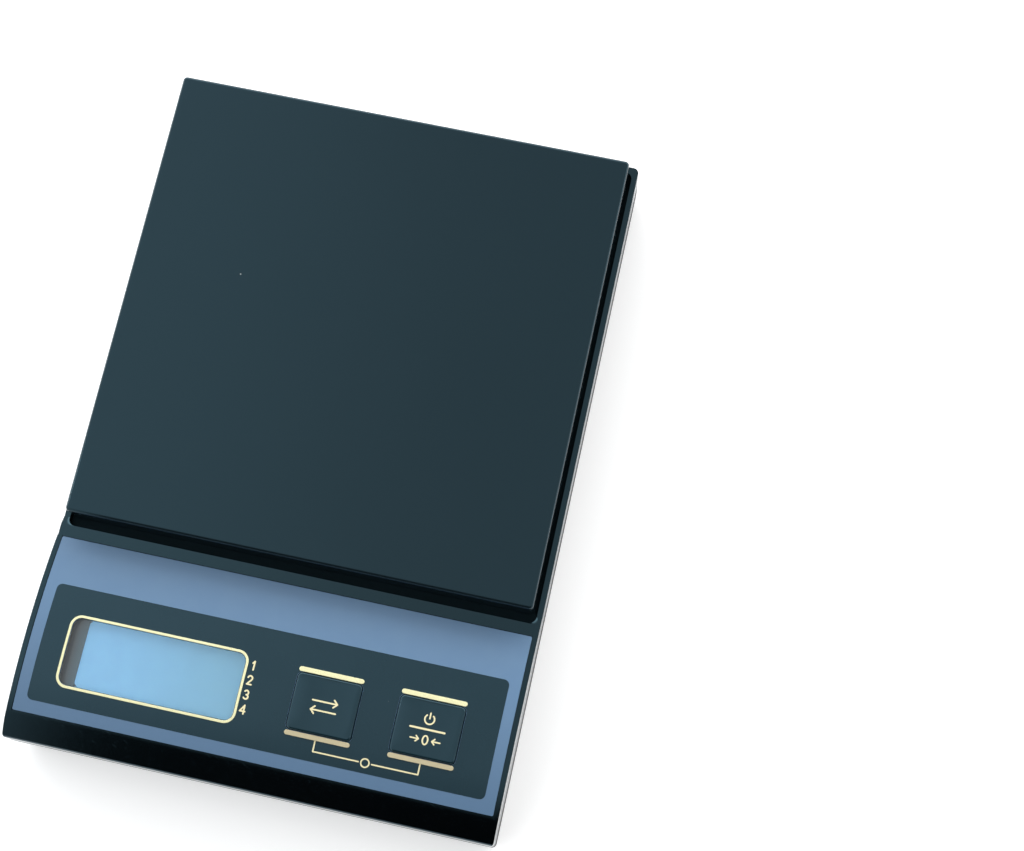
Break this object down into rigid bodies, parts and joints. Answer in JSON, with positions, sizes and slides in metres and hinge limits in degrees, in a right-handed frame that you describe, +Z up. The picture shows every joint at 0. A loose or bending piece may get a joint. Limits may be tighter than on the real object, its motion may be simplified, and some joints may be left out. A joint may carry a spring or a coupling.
{
  "type": "digital pocket scale",
  "caption": "Flat digital pocket scale with a square weighing tray on a load cell, a crowned control panel with a display window and keys, and a sliding battery door.",
  "frame": {"origin": "middle of the case in plan, on the surface the feet stand on", "axes": "+Z up, +Y from the control panel to the rear of the tray, +X to the user's right"},
  "size_m": [0.104, 0.1492, 0.023],
  "materials": {
    "case_gloss": "polished black moulding",
    "case_satin": "fine spark-eroded grain",
    "tray_gloss": "polished black moulding, faint wear",
    "overlay_film": "fine matt printed film",
    "clear_lens": "clear polished acrylic",
    "black_foam": "closed-cell foam",
    "bezel_grey": "matt moulding",
    "display_film": "reflective blank display",
    "strip_rubber": "layered conductive elastomer",
    "board_green": "solder-masked laminate",
    "screw_zinc": "zinc-plated",
    "screw_black": "black zinc-plated",
    "chip_black": "moulded epoxy",
    "can_steel": "plain can",
    "can_aluminium": "plain can",
    "key_gloss": "polished black cap",
    "dome_silicone": "translucent silicone",
    "socket_ivory": "natural nylon",
    "lead_grey": "soft sheath",
    "lead_red": "soft insulation",
    "beam_aluminium": "milled",
    "gauge_foil": "foil on polyimide",
    "coating_silicone": "soft white coating",
    "spacer_aluminium": "milled",
    "carrier_plastic": "glass-filled moulding",
    "pad_rubber": "moulded",
    "stop_brass": "turned",
    "cell_jacket": "printed jacket, plain",
    "contact_nickel": "nickel-plated",
    "foot_rubber": "moulded",
    "label_foil": "blank silver foil"
  },
  "bodies": {
    "base": {"upper_case": "case_gloss", "lower_case": "case_satin", "control_overlay": "overlay_film", "display_lens": "clear_lens", "lens_gasket": "black_foam", "display_bezel": "bezel_grey", "display_glass": "display_film", "contact_strips": "strip_rubber", "main_board": "board_green", "board_screws": "screw_zinc", "processor_chip": "chip_black", "converter_chip": "chip_black", "clock_crystal": "can_steel", "capacitors": "can_aluminium", "resistors": "chip_black", "mode_dome": "dome_silicone", "tare_dome": "dome_silicone", "gauge_socket": "socket_ivory", "power_socket": "socket_ivory", "gauge_cable": "lead_grey", "battery_leads": "lead_red", "load_cell": "beam_aluminium", "strain_gauges": "gauge_foil", "gauge_coating": "coating_silicone", "load_cell_screws": "screw_zinc", "overload_stops": "stop_brass", "battery_cells": "cell_jacket", "battery_springs": "contact_nickel", "battery_plates": "contact_nickel", "case_screws": "screw_black", "rubber_feet": "foot_rubber", "blank_label": "label_foil"},
    "platform": {"weighing_tray": "tray_gloss", "tray_carrier": "carrier_plastic", "tray_pads": "pad_rubber", "load_spacer": "spacer_aluminium", "carrier_screws": "screw_zinc"},
    "mode_button": {"mode_key": "key_gloss"},
    "tare_button": {"tare_key": "key_gloss"},
    "battery_hatch": {"battery_door": "case_satin"}
  },
  "joints": [
    {"name": "tray_travel", "type": "slide", "parent": "base", "child": "platform", "axis": [0, 0, 1], "range_m": [-0.0005, 0], "stiffness_N_per_m": 13000, "springref_m": 0.00005, "deforming": ["load_cell"]},
    {"name": "mode_press", "type": "slide", "parent": "base", "child": "mode_button", "axis": [0, 0, -1], "range_m": [0, 0.0005], "stiffness_N_per_m": 2500, "springref_m": -0.0002, "deforming": ["mode_dome"]},
    {"name": "tare_press", "type": "slide", "parent": "base", "child": "tare_button", "axis": [0, 0, -1], "range_m": [0, 0.0005], "stiffness_N_per_m": 2500, "springref_m": -0.0002, "deforming": ["tare_dome"]},
    {"name": "door_slide", "type": "slide", "parent": "base", "child": "battery_hatch", "axis": [0, 1, 0], "range_m": [0, 0.029]}
  ]
}
